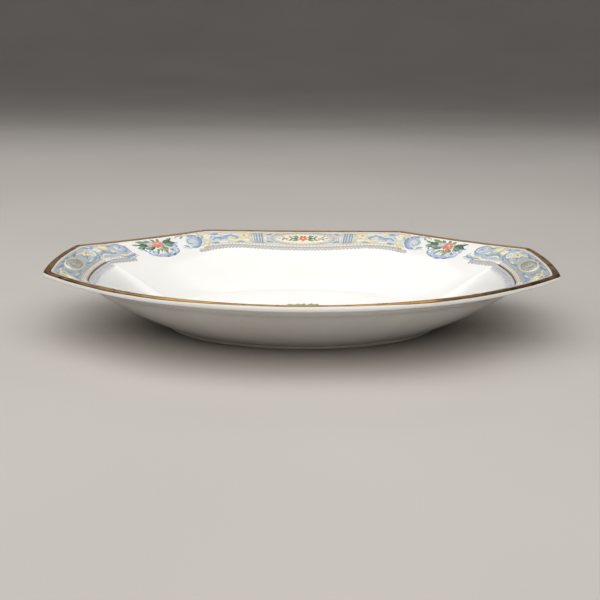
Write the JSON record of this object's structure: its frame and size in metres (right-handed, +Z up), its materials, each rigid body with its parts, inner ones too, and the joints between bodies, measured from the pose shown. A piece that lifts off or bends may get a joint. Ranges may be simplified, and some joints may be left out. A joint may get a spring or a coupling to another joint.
{
  "type": "octagonal serving bowl",
  "caption": "Shallow elongated octagonal porcelain serving bowl on a low oval foot ring, with a gilded rim and a printed flower border, for serving food at the table.",
  "frame": {"origin": "on the table plane, under the middle of the bowl", "axes": "+X along the long axis of the bowl, +Y towards the back long side, +Z up out of the open side"},
  "size_m": [0.25, 0.18, 0.0331],
  "materials": {
    "porcelain": "smooth clear glaze on warm ivory-white porcelain",
    "foot_porcelain": "glazed sides, matte ground base",
    "gilding": "thin burnished gold",
    "border_enamel": "grey-blue, cream and yellow print under a gloss",
    "flower_enamel": "orange, green and blue flower print under a gloss",
    "spray_enamel": "green and orange flower print under a gloss"
  },
  "bodies": {
    "root": {"bowl_body": "porcelain", "foot_ring": "foot_porcelain", "rim_gold_band": "gilding", "border_print_left": "border_enamel", "border_print_right": "border_enamel", "border_print_front": "border_enamel", "border_print_back": "border_enamel", "bouquet_print_front_left": "flower_enamel", "bouquet_print_front_right": "flower_enamel", "bouquet_print_back_left": "flower_enamel", "bouquet_print_back_right": "flower_enamel", "centre_spray_print": "spray_enamel"}
  },
  "joints": []
}
